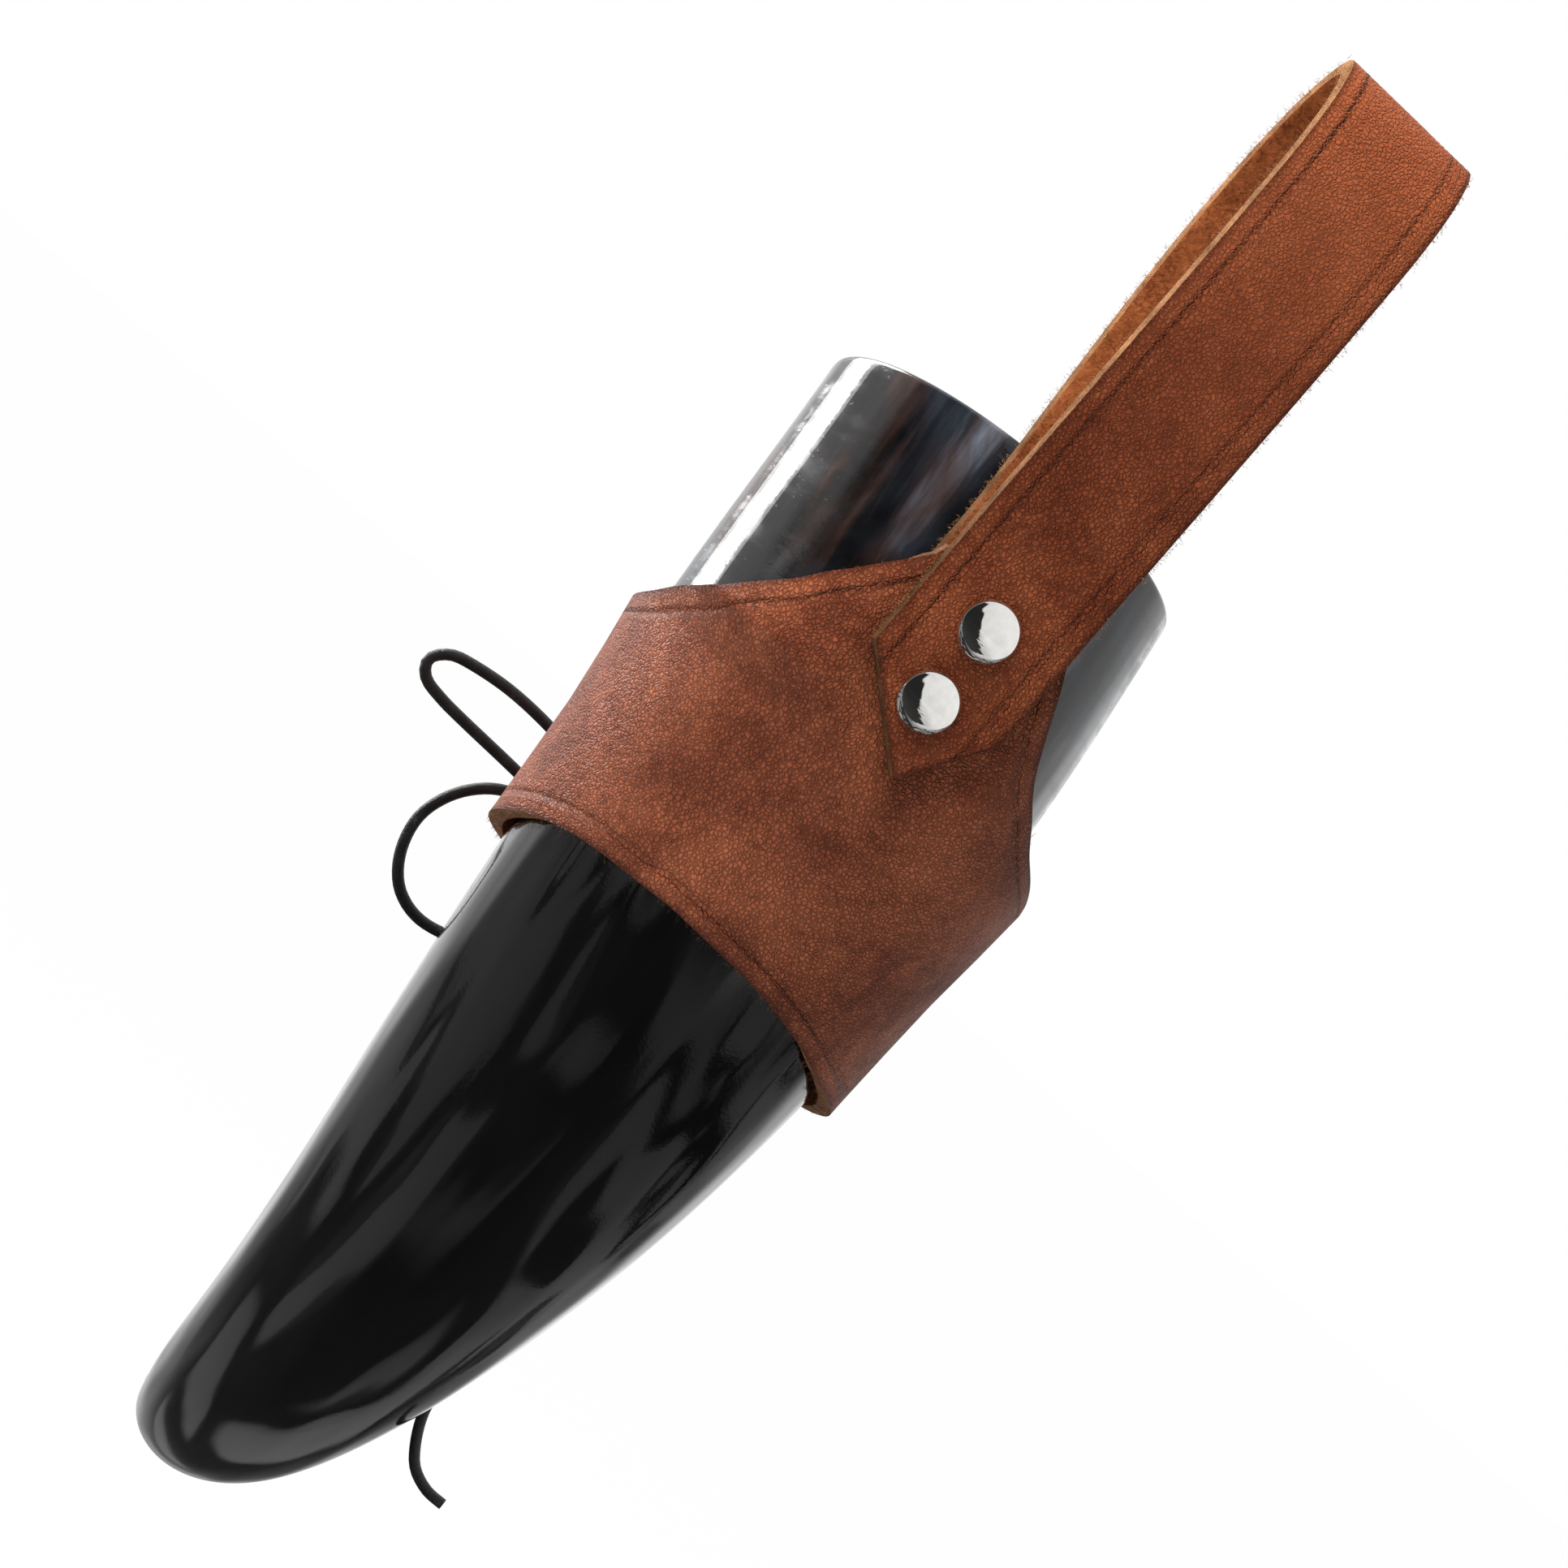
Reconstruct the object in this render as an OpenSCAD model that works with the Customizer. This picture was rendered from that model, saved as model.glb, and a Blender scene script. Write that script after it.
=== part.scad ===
// Drinking horn in a laced leather belt holster.
// Worn pose: +Z up along the belt strap, the strap's face towards -Y, the laced seam towards +Y.
// Origin: the inside top of the belt strap's fold, where it hangs on the belt. Millimetres.

/* [Horn] */
// Outside radius at the mouth
horn_r = 32.3; // [24:0.1:42]
// Radius of the bend of the horn's centreline
bend_r = 200; // [160:5:300]
// Lean of the horn in its holster, degrees
horn_lean = 5.4; // [0:0.2:10]
// Turn of the bend to one side of the strap, degrees
horn_twist = 3; // [-5:0.5:8]
// Backward tilt of the mouth, degrees
mouth_tilt = 9; // [0:0.5:14]
// Sideways slant of the mouth's cut, degrees
mouth_slant = 5.4; // [0:0.2:8]
// Wall thickness at the rim
rim_wall = 2.4; // [1.5:0.1:3.5]
// How much the wall thickens per millimetre below the rim
wall_growth = 0.014; // [0.005:0.001:0.02]
// Facets around the horn
horn_facets = 48; // [32:4:64]

/* [Leather] */
// Thickness of the leather
leather_t = 2.8; // [2:0.1:3.5]
// Width of the belt strap
strap_w = 24; // [18:0.5:30]
// Height of the strap's fold above the lower rivet
loop_h = 106; // [90:1:125]
// Length of the strap's pointed end
point_l = 13.4; // [8:0.2:18]
// Sideways offset of the strap's point
point_off = 3.2; // [-4:0.1:4]
// Corner radius of the strap's hidden end
end_r = 3; // [1:0.5:5]

/* [Sleeve] */
// Half-width of the sleeve's tab at its top
tab_hw = 13; // [12:0.2:16]
// Half-angle of the open seam at the back, degrees
seam_half = 6.5; // [5:0.5:9]
// How far the leather stands off the horn beside the seam, over the cord
seam_lift = 2.6; // [2:0.1:3.5]

/* [Rivets] */
// Diameter of the rivet caps
cap_d = 9.5; // [7:0.5:12]
// Height of the front caps
cap_h = 1.9; // [1.2:0.1:2.6]
// Height of the back caps
base_h = 1; // [0.8:0.1:1.2]
// Distance between the rivets
rivet_gap = 13; // [10:0.5:16]
// Sideways offset of the rivets
rivet_x = -0.2; // [-2:0.1:2]
// Radius of the rivet's post
post_r = 1.1; // [0.8:0.05:1.3]
// Radius of the rivet's tubular stem
stem_r = 1.5; // [1.4:0.05:1.8]

/* [Lace] */
// Diameter of the cord
cord_d = 2; // [1.5:0.1:2.2]
// Radius of the lace holes
lace_hole_r = 1.5; // [1.3:0.1:2]
// Distance between the rows of lace holes
row_gap = 10; // [8:0.5:12]

/* [Hidden] */
$fn = 48;

// ---- smooth curve through evenly numbered stations ------------------------------------
function at(v, i) = v[max(0, min(len(v) - 1, i))];
function cat(v, i, t) =
    let (a = at(v, i - 1), b = at(v, i), c = at(v, i + 1), d = at(v, i + 2))
    ((2 * b) + (c - a) * t + (2 * a - 5 * b + 4 * c - d) * t * t
        + (3 * b - a - 3 * c + d) * t * t * t) / 2;
function along(v, x) = let (i = min(len(v) - 2, floor(x))) cat(v, i, x - i);
function smooth(p, k) = [
    for (i = [0 : len(p) - 2], j = [0 : k - 1]) cat(p, i, j / k), p[len(p) - 1],
];

// ---- horn ------------------------------------------------------------------------------
// Outside radius every 40 mm down the centreline, as a share of the mouth's radius.
taper_step = 40;
taper = [1, 1.025, 0.987, 0.891, 0.753, 0.622, 0.493, 0.313, 0.150];
horn_l = 326;
cavity_l = 250;
// Middle of the mouth, its height measured from the lower rivet.
mouth_at = [-0.7, 36.9, 33];
function horn_rad(s) = horn_r * along(taper, s / taper_step);
function angle_at(s) = -mouth_tilt + s / bend_r * 180 / PI;
function centre_at(s) =
    let (a = angle_at(s), m = -mouth_tilt)
    [0, bend_r * (cos(m) - cos(a)), -bend_r * (sin(a) - sin(m))];
function horn_ring(s, r) =
    let (a = angle_at(s), c = centre_at(s), slant = tan(mouth_slant) * max(0, 1 - s / 60))
    [for (i = [0 : horn_facets - 1])
        let (q = 360 * i / horn_facets)
        c + r * [sin(q), -cos(q) * cos(a), -cos(q) * sin(a) - slant * sin(q)]];
function cavity_rad(s) =
    let (full = horn_rad(s) - rim_wall - wall_growth * s, end = (cavity_l - s) / 42)
    full * (end >= 1 ? 1 : sqrt(max(0, 1 - pow(1 - end, 2))));
function tip_rad(s) =
    let (q = (horn_l - s) / 5) horn_rad(s) * (q >= 1 ? 1 : sqrt(max(0, 1 - pow(1 - q, 2))));

// Skin through a list of rings, closed by a point at each end.
module skin(rings, first, last) {
    n = len(rings[0]);
    m = len(rings);
    points = concat([for (r = rings, p = r) p], [first, last]);
    sides = [for (j = [0 : m - 2], i = [0 : n - 1], k = [0, 1])
        let (a = j * n + i, b = j * n + (i + 1) % n)
        k == 0 ? [a, b, b + n] : [a, b + n, a + n]];
    caps = [for (i = [0 : n - 1], k = [0, 1])
        k == 0 ? [m * n, (i + 1) % n, i]
               : [m * n + 1, (m - 1) * n + i, (m - 1) * n + (i + 1) % n]];
    polyhedron(points, concat(sides, caps), convexity = 6);
}

module horn() {
    inner = [249.6, 248.6, 246, 241, for (s = [232 : -12 : 16]) s, 8, 0.5];
    outer = [0.7, 5, 12, for (s = [20 : 8 : 316]) s, 321.5, 324, 325.4];
    lip = 0.6;
    color([0.07, 0.065, 0.06])
        hung() translate(mouth_at) rotate([0, -horn_lean, 0]) rotate([0, 0, -horn_twist])
            skin(concat(
                [for (s = inner) horn_ring(s, cavity_rad(s))],
                [horn_ring(0, cavity_rad(0) + lip), horn_ring(0, horn_rad(0) - lip)],
                [for (s = outer) horn_ring(s, tip_rad(s))]
            ), centre_at(cavity_l), centre_at(horn_l));
}

// ---- sleeve -----------------------------------------------------------------------------
// Height above the lower rivet, then the centre and the half-axes of the leather's inner face.
section = [
    [-63, 8.6, 45.1, 32.2, 33.9],
    [-53, 7.6, 42.0, 32.4, 33.9],
    [-43, 6.6, 39.1, 32.8, 34.3],
    [-33, 5.7, 36.5, 33.3, 34.7],
    [-23, 4.8, 34.3, 34.3, 35.5],
    [-14, 3.9, 32.7, 35.3, 36.1],
    [-7, 1.1, 30.7, 36.3, 36.8],
    [3, 0.4, 30.7, 36.3, 36.5],
    [21, 0.0, 30.7, 36.3, 36.5],
];
// The tab is pressed flat where the strap is riveted to it.
flat_y = -3;
function col(k) = [for (r = section) [r[0], r[k]]];
cxs = col(1);
cys = col(2);
axs = col(3);
ays = col(4);
function ease(x) = let (t = max(0, min(1, x))) t * t * (3 - 2 * t);
function lift(a) = seam_lift * ease((abs(a) - 140) / 24);
function sleeve_pt(a, z, off) =
    let (o = off + lift(a <= 180 ? a : 360 - a))
    [
        lookup(z, cxs) + (lookup(z, axs) + o) * sin(a),
        max(lookup(z, cys) - (lookup(z, ays) + o) * cos(a), abs(a) < 60 ? flat_y - o : -99),
        z,
    ];
// Top edge: height against the angle from the strap; the cut is turned a little off the tab.
top_cut = [
    [0, 19], [17.5, 19], [19, 16.6], [28, 7.4], [34.5, 2], [43, -2.6], [51, -6.5],
    [62, -9.6], [77, -13], [90, -14.5], [120, -17], [150, -19.5], [190, -20.5],
];
// Bottom edge: height against the angle from its highest point, 21 degrees to the left.
bottom_cut = [
    [0, -46], [24, -46.9], [46, -49.4], [61, -52], [81, -54.8], [100, -57],
    [130, -60], [160, -61.6], [180, -62],
];
function top_at(a) =
    lookup(abs(a + 4 * max(0, min(1, (abs(a) - 19) / 16))) * 13 / tab_hw, top_cut);
function bottom_at(a) = let (b = abs(a + 21)) lookup(b > 180 ? 360 - b : b, bottom_cut);
sleeve_cols = 88;
sleeve_rows = 13;
sleeve_end = 180 - seam_half;

module sleeve_blank() {
    n = sleeve_cols + 1;
    m = sleeve_rows + 1;
    points = [for (f = [0, 1], i = [0 : sleeve_cols], j = [0 : sleeve_rows])
        let (a = -sleeve_end + 2 * sleeve_end * i / sleeve_cols,
             lo = bottom_at(a), hi = top_at(a))
        sleeve_pt(a, lo + (hi - lo) * j / sleeve_rows, f * leather_t)];
    function id(f, i, j) = f * n * m + i * m + j;
    faces = [for (f = [0, 1], i = [0 : sleeve_cols - 1], j = [0 : sleeve_rows - 1], k = [0, 1])
        let (a = id(f, i, j), b = id(f, i + 1, j), c = id(f, i + 1, j + 1), d = id(f, i, j + 1),
             t = k == 0 ? [a, b, c] : [a, c, d])
        f == 0 ? t : [t[2], t[1], t[0]]];
    rims = [for (j = [0, sleeve_rows], i = [0 : sleeve_cols - 1], k = [0, 1])
        let (a = id(0, i, j), b = id(0, i + 1, j), c = id(1, i + 1, j), d = id(1, i, j),
             t = k == 0 ? [a, b, c] : [a, c, d])
        j == 0 ? [t[2], t[1], t[0]] : t];
    ends = [for (i = [0, sleeve_cols], j = [0 : sleeve_rows - 1], k = [0, 1])
        let (a = id(0, i, j), b = id(0, i, j + 1), c = id(1, i, j + 1), d = id(1, i, j),
             t = k == 0 ? [a, b, c] : [a, c, d])
        i == 0 ? t : [t[2], t[1], t[0]]];
    polyhedron(points, concat(faces, rims, ends), convexity = 8);
}

row_z = [for (i = [0 : 2]) -27 - row_gap * i];
hole_a = 166;
module sleeve() {
    color([0.47, 0.21, 0.11])
        hung() difference() {
            sleeve_blank();
            rivet_places() rotate([90, 0, 0]) cylinder(h = 30, r = stem_r + 0.1, center = true, $fn = 32);
            for (z = row_z, s = [-1, 1])
                translate(sleeve_pt(s * hole_a, z, leather_t / 2))
                    rotate([0, 0, s * hole_a]) rotate([90, 0, 0])
                        cylinder(h = 12, r = lace_hole_r, center = true, $fn = 24);
        }
}

// ---- belt strap --------------------------------------------------------------------------
near_y = flat_y - 1.5 * leather_t;
far_y = flat_y + leather_t / 2;
low_z = -loop_h;
point_z = low_z - 11.6;
far_end_z = low_z - 5;
// Height of a share of the loop.
function up(k) = -loop_h * k;
// Side view of the leather's middle, from the pointed end over the fold to the hidden end.
side = [
    [near_y, point_z], [near_y, point_z + 12], [near_y, low_z + 11], [near_y, low_z + 19.5],
    [near_y, low_z + 26], [near_y - 0.4, up(0.64)], [near_y - 1.0, up(0.47)],
    [near_y - 1.4, up(0.29)], [near_y - 0.9, up(0.13)], [near_y + 1.9, up(0.035)],
    [near_y + 7.2, leather_t / 2], [near_y + 13.2, up(0.03)], [near_y + 16.3, up(0.12)],
    [near_y + 17.0, up(0.225)], [near_y + 15.6, up(0.35)], [near_y + 12.5, up(0.49)],
    [near_y + 9.1, up(0.61)], [far_y + 1.1, low_z + 32], [far_y, low_z + 25],
    [far_y, low_z + 19.5], [far_y, low_z + 8], [far_y, far_end_z],
];
function heading(p, i) = let (d = at(p, i + 1) - at(p, i - 1)) d / norm(d);
function beside(p, w) = [for (i = [0 : len(p) - 1]) let (h = heading(p, i)) p[i] + w * [-h[1], h[0]]];

module belt_strap() {
    mid = smooth(side, 4);
    n = len(mid);
    a = beside(mid, leather_t / 2);
    b = beside(mid, -leather_t / 2);
    color([0.45, 0.20, 0.10])
        difference() {
            rotate([90, 0, 90])
                linear_extrude(height = strap_w, center = true)
                    polygon(concat(a, [for (i = [n - 1 : -1 : 0]) b[i]]));
            // pointed end
            for (s = [-1, 1])
                translate([0, near_y, 0]) rotate([90, 0, 0])
                    linear_extrude(height = 3 * leather_t, center = true)
                        polygon([
                            [point_off, point_z], [s * strap_w / 2, point_z + point_l],
                            [s * (strap_w / 2 + 5), point_z + point_l],
                            [s * (strap_w / 2 + 5), point_z - 5], [point_off, point_z - 5],
                        ]);
            // rounded corners of the hidden end
            for (s = [-1, 1])
                translate([s * (strap_w / 2 - end_r), far_y, far_end_z + end_r])
                    rotate([90, 0, 0]) difference() {
                        translate([s * 5, -5, 0]) cube([10, 10, leather_t + 1], center = true);
                        cylinder(h = leather_t + 4, r = end_r, center = true, $fn = 32);
                    }
            hung() rivet_places()
                rotate([90, 0, 0]) cylinder(h = 30, r = stem_r + 0.1, center = true, $fn = 32);
        }
}

// ---- rivets ------------------------------------------------------------------------------
rivet_z = [rivet_gap, 0];
module hung() translate([0, 0, -loop_h]) children();
module rivet_places() for (z = rivet_z) translate([rivet_x, -4, z]) children();

// Domed cap with its rolled edge and its post, face towards -Y.
module rivet_cap(z) {
    face = flat_y - 2 * leather_t;
    r = cap_d / 2;
    ball = (r * r + cap_h * cap_h) / (2 * cap_h);
    color([0.86, 0.86, 0.86])
        hung() translate([rivet_x, face, z]) rotate([90, 0, 0])
            rotate_extrude($fn = 48)
                polygon(concat(
                    [[0, -leather_t * 2.6], [post_r, -leather_t * 2.6], [post_r, 0], [r - 0.3, 0], [r, 0.25]],
                    [for (t = [0.1 : 0.1 : 0.91])
                        let (x = r * (1 - t))
                        [x, max(0.25, cap_h - ball + sqrt(ball * ball - x * x))]],
                    [[0, cap_h]]
                ));
}

// Low back cap with the tubular stem that the post is driven into.
module rivet_base(z) {
    back = flat_y + leather_t;
    r = cap_d / 2;
    color([0.80, 0.80, 0.80])
        hung() translate([rivet_x, back, z]) rotate([-90, 0, 0])
            rotate_extrude($fn = 48)
                polygon([
                    [0, -0.3], [post_r + 0.02, -0.3], [post_r + 0.02, -3 * leather_t + 0.4],
                    [stem_r, -3 * leather_t + 0.4], [stem_r, 0], [r - 0.3, 0], [r, 0.2],
                    [r * 0.9, base_h * 0.5], [r * 0.7, base_h * 0.8], [r * 0.4, base_h * 0.96],
                    [0, base_h],
                ]);
}
module rivet_cap_upper() rivet_cap(rivet_z[0]);
module rivet_cap_lower() rivet_cap(rivet_z[1]);
module rivet_base_upper() rivet_base(rivet_z[0]);
module rivet_base_lower() rivet_base(rivet_z[1]);

// ---- lace --------------------------------------------------------------------------------
// Tube of 8 sides swept along a list of points, turning with the route.
function turn(v, from, to) =
    let (c = cross(from, to), d = from * to)
    d > 0.99999 ? v : v * d + cross(c, v) + c * (c * v) / (1 + d);
function headings(p) = [for (i = [0 : len(p) - 1])
    let (a = i == 0 ? p[1] - p[0] : p[i] - p[i - 1],
         b = i == len(p) - 1 ? a : p[i + 1] - p[i],
         d = a / norm(a) + b / norm(b)) d / norm(d)];
function sides_of(h, i, u) =
    i >= len(h) ? [] : concat([u], sides_of(h, i + 1, i + 1 < len(h) ? turn(u, h[i], h[i + 1]) : u));
module tube(p, d) {
    h = headings(p);
    u0 = cross(h[0], abs(h[0][2]) < 0.8 ? [0, 0, 1] : [1, 0, 0]);
    us = sides_of(h, 0, u0 / norm(u0));
    rings = [for (i = [0 : len(p) - 1])
        let (w = cross(h[i], us[i]))
        [for (k = [0 : 7]) p[i] + d / 2 * (cos(45 * k) * us[i] + sin(45 * k) * w)]];
    skin(rings, p[0], p[len(p) - 1]);
}

over = leather_t + cord_d / 2 + 0.15;
under = -cord_d / 2 - 0.15;
knot_at = [7.6, 80.2, -50.5];
// One crossing from a hole (side s) to the next row on the other side.
function cross_over(s, z, mid) = [
    sleeve_pt(180 - s * 12.6, z - 0.4, over), sleeve_pt(180 - s * 5.5, z - 2.6, over),
    sleeve_pt(180, z - row_gap / 2, leather_t / 2 + mid), sleeve_pt(180 + s * 5.5, z - row_gap + 2.6, under),
    sleeve_pt(180 + s * 12.4, z - row_gap + 0.2, under),
    sleeve_pt(180 + s * 14, z - row_gap, 0.2), sleeve_pt(180 + s * 14, z - row_gap, leather_t - 0.2),
];
function half(s, mid) = concat(
    [sleeve_pt(180 - s * 12.6, row_z[0], under), sleeve_pt(180 - s * 14, row_z[0], 0.2),
     sleeve_pt(180 - s * 14, row_z[0], leather_t - 0.2)],
    cross_over(s, row_z[0], mid), cross_over(-s, row_z[1], mid),
    [sleeve_pt(180 - s * 12.4, row_z[2] + 0.1, over), sleeve_pt(180 - s * 7.4, row_z[2] + 0.4, over + 0.3)]
);
function reversed(v) = [for (i = [len(v) - 1 : -1 : 0]) v[i]];
module lace() {
    a = half(1, 1.15);
    b = half(-1, -1.15);
    color([0.05, 0.05, 0.05])
        hung() tube(concat(
            [knot_at + [-2, 0.2, 3.2]], reversed(a),
            [sleeve_pt(180, row_z[0], under)], b,
            [knot_at + [2, 0.2, 3.2]]
        ), cord_d);
}

module lace_knot()
    color([0.05, 0.05, 0.05])
        hung() translate(knot_at) rotate([0, 90, 0])
            rotate_extrude($fn = 32)
                polygon([[0, -3.4], [1.6, -3.3], [2.6, -2.6], [3.1, -1.2], [3.1, 1.2], [2.6, 2.6], [1.6, 3.3], [0, 3.4]]);

loop_upper = [
    [5.2, 82.4, -49.6], [0.5, 84.2, -47], [-7.6, 83.2, -42.6], [-19.6, 81.2, -40], [-30.6, 80.4, -39.2],
    [-38.6, 80.4, -40.2], [-43.6, 80.4, -42.4], [-44.8, 80.4, -44.6], [-41.6, 80.4, -46.6],
    [-33.6, 80.4, -47.8], [-22.6, 80.8, -48.6], [-11, 81.8, -49.6], [-3, 83.2, -50.8], [5.2, 82.6, -51.8],
];
loop_lower = [
    [5.6, 81.3, -53.6], [0, 83.4, -54.4], [-9, 83.6, -52.8], [-17, 82.4, -51.6], [-22.6, 81, -53.2],
    [-27.2, 80.4, -58], [-29.2, 80.4, -64.4], [-27.6, 80.4, -71], [-23.4, 80.6, -75.8], [-17, 81.2, -77.4],
    [-9, 83.4, -75.2], [-1, 84.8, -68.6], [4.8, 84.6, -60.6], [7.8, 82, -53.2],
];
tail_right = [
    [10.9, 81.8, -50.6], [14.6, 83.8, -56], [18.6, 84.4, -64], [23.6, 86.4, -76], [28.8, 89.2, -89],
    [33.6, 92.4, -102], [37.6, 95.8, -114], [40.8, 99, -126], [42, 101, -136],
    [43, 101.8, -145], [47, 101, -152.4], [51.4, 100, -155], [55.6, 99, -155.2],
];
tail_left = [
    [9.9, 81.2, -52.8], [10.6, 84.6, -60], [11.6, 86.8, -71], [12.6, 89.8, -82], [13.6, 94, -93],
    [14.6, 99, -104], [15.6, 105.4, -115],
];
module cord_piece(p) color([0.05, 0.05, 0.05]) hung() tube(p, cord_d);
module lace_loop_upper() cord_piece(loop_upper);
module lace_loop_lower() cord_piece(loop_lower);
module lace_tail_right() cord_piece(tail_right);
module lace_tail_left() cord_piece(tail_left);

horn();
sleeve();
belt_strap();
rivet_cap_upper();
rivet_base_upper();
rivet_cap_lower();
rivet_base_lower();
lace();
lace_knot();
lace_loop_upper();
lace_loop_lower();
lace_tail_right();
lace_tail_left();
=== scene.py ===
import math
import random

import bmesh
import bpy
import numpy as np
from mathutils import Matrix, Vector, kdtree


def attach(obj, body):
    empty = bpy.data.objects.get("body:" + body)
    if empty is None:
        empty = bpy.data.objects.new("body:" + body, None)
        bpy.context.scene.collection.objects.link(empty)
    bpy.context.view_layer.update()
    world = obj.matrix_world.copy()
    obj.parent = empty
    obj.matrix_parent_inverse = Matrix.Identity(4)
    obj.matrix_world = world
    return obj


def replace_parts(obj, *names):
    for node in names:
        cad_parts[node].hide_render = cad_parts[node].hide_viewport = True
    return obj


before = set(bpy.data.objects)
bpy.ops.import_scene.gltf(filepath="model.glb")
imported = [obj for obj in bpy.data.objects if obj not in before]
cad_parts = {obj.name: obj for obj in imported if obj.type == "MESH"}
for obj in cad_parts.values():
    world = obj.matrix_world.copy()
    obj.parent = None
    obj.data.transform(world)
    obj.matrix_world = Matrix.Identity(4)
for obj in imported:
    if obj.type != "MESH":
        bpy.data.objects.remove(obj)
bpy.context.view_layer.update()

MM = 0.001
STRAP_DROP = 106.0  # the fold hangs this far above the lower rivet
scene = bpy.context.scene


# ---- camera ------------------------------------------------------------------------------
AWAY = Vector((0.24192, 0.97030, 0)).normalized()  # level, from the viewer's side of the room to its far side
LEFT = AWAY.cross(Vector((0, 0, -1)))
CAMERA_AT = (-0.13035, -0.49766, -0.1279)
CAMERA_ROLL = math.radians(49.5)
CAMERA_FIELD = math.radians(24.56)


def hang_camera():
    """The camera looks level and is rolled on its axis, so the upright holster hangs aslant in its frame."""
    upright, across = Vector((0, 0, 1)), AWAY.cross(Vector((0, 0, 1)))
    right = upright * math.cos(CAMERA_ROLL) + across * math.sin(CAMERA_ROLL)
    above = upright * math.sin(CAMERA_ROLL) - across * math.cos(CAMERA_ROLL)
    data = bpy.data.cameras.new("camera")
    data.sensor_width = 36
    data.lens = data.sensor_width / 2 / math.tan(CAMERA_FIELD / 2)
    camera = bpy.data.objects.new("camera", data)
    scene.collection.objects.link(camera)
    turn = Matrix((right, above, -AWAY)).transposed()
    camera.matrix_world = Matrix.Translation(CAMERA_AT) @ turn.to_4x4()
    scene.camera = camera


hang_camera()


# ---- small helpers -----------------------------------------------------------------------
def nothing_selected():
    if bpy.context.mode != "OBJECT":
        bpy.ops.object.mode_set(mode="OBJECT")
    bpy.ops.object.select_all(action="DESELECT")


def take(piece):
    nothing_selected()
    piece.select_set(True)
    bpy.context.view_layer.objects.active = piece
    return piece


def apply_all(piece):
    take(piece)
    for m in [m.name for m in piece.modifiers]:
        bpy.ops.object.modifier_apply(modifier=m)
    return piece


def settle(piece):
    """The piece's place goes into its mesh, and its object comes to the origin."""
    take(piece)
    bpy.ops.object.transform_apply(location=True, rotation=True, scale=True)
    return piece


def smooth_by_angle(piece, degrees):
    take(piece)
    bpy.ops.object.shade_smooth_by_angle(angle=math.radians(degrees))
    return piece


def flowing(x, xs, ys):
    """A smooth line through hand-set heights, with no overshoot between them."""
    xs, ys = np.asarray(xs, float), np.asarray(ys, float)
    run, rise = np.diff(xs), np.diff(ys)
    grade = rise / run
    lean = np.zeros_like(ys)
    lean[0], lean[-1] = grade[0], grade[-1]
    for i in range(1, len(xs) - 1):
        a, b = grade[i - 1], grade[i]
        lean[i] = 0 if a * b <= 0 else 3 * (run[i - 1] + run[i]) / (
            (2 * run[i] + run[i - 1]) / a + (run[i] + 2 * run[i - 1]) / b)
    x = np.clip(x, xs[0], xs[-1])
    i = np.clip(np.searchsorted(xs, x) - 1, 0, len(xs) - 2)
    h = run[i]
    t = (x - xs[i]) / h
    return (ys[i] * (1 + 2 * t) * (1 - t) ** 2 + lean[i] * h * t * (1 - t) ** 2
            + ys[i + 1] * t * t * (3 - 2 * t) + lean[i + 1] * h * t * t * (t - 1))


def between(a, b, c, d, t):
    """Catmull-Rom curve at t on the way from b to c, with a before them and d after."""
    return (2 * b + (c - a) * t + (2 * a - 5 * b + 4 * c - d) * t * t + (3 * b - a - 3 * c + d) * t ** 3) / 2


def rounded(points, steps):
    """A curved line through a few points, each span in so many steps."""
    p = np.asarray(points, float)
    out = []
    for i in range(len(p) - 1):
        near = p[max(i - 1, 0)], p[i], p[i + 1], p[min(i + 2, len(p) - 1)]
        out += [between(*near, k / steps) for k in range(steps)]
    out.append(p[-1])
    return np.array(out)


def run_of(line):
    """How far along the line each of its points lies."""
    return np.concatenate([[0], np.cumsum(np.linalg.norm(np.diff(line, axis=0), axis=1))])


def even(line, gap):
    """The same line with its points a steady distance apart."""
    far = run_of(line)
    n = max(2, int(round(far[-1] / gap)) + 1)
    at = np.linspace(0, far[-1], n)
    return np.stack([np.interp(at, far, line[:, k]) for k in range(line.shape[1])], axis=1)


def hung(points):
    """Points measured from the lower rivet, in millimetres, as places under the strap's fold."""
    return (np.asarray(points, float) + [0, 0, -STRAP_DROP]) * MM


def turn_over(piece):
    """The piece's faces look the other way."""
    take(piece)
    bpy.ops.object.mode_set(mode="EDIT")
    bpy.ops.mesh.select_all(action="SELECT")
    bpy.ops.mesh.flip_normals()
    bpy.ops.object.mode_set(mode="OBJECT")


# ---- shader building ---------------------------------------------------------------------
def add(tree, kind, values=None, **settings):
    """A node, with its settings and what goes to its sockets."""
    n = tree.nodes.new(kind)
    for k, v in settings.items():
        setattr(n, k, v)
    for k, v in (values or {}).items():
        if isinstance(v, bpy.types.NodeSocket):
            tree.links.new(v, n.inputs[k])
        else:
            n.inputs[k].default_value = v
    return n


def ramp(tree, value, stops, ease="LINEAR"):
    n = add(tree, "ShaderNodeValToRGB", {"Fac": value})
    n.color_ramp.interpolation = ease
    el = n.color_ramp.elements
    while len(el) < len(stops):
        el.new(0.5)
    for e, (p, c) in zip(el, stops):
        e.position = p
        e.color = (*c[:3], 1) if hasattr(c, "__len__") else (c, c, c, 1)
    return n.outputs["Color"]


def math_node(tree, op, a, b=0.0, c=0.0, clamp=False):
    return add(tree, "ShaderNodeMath", {0: a, 1: b, 2: c}, operation=op, use_clamp=clamp).outputs[0]


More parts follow.
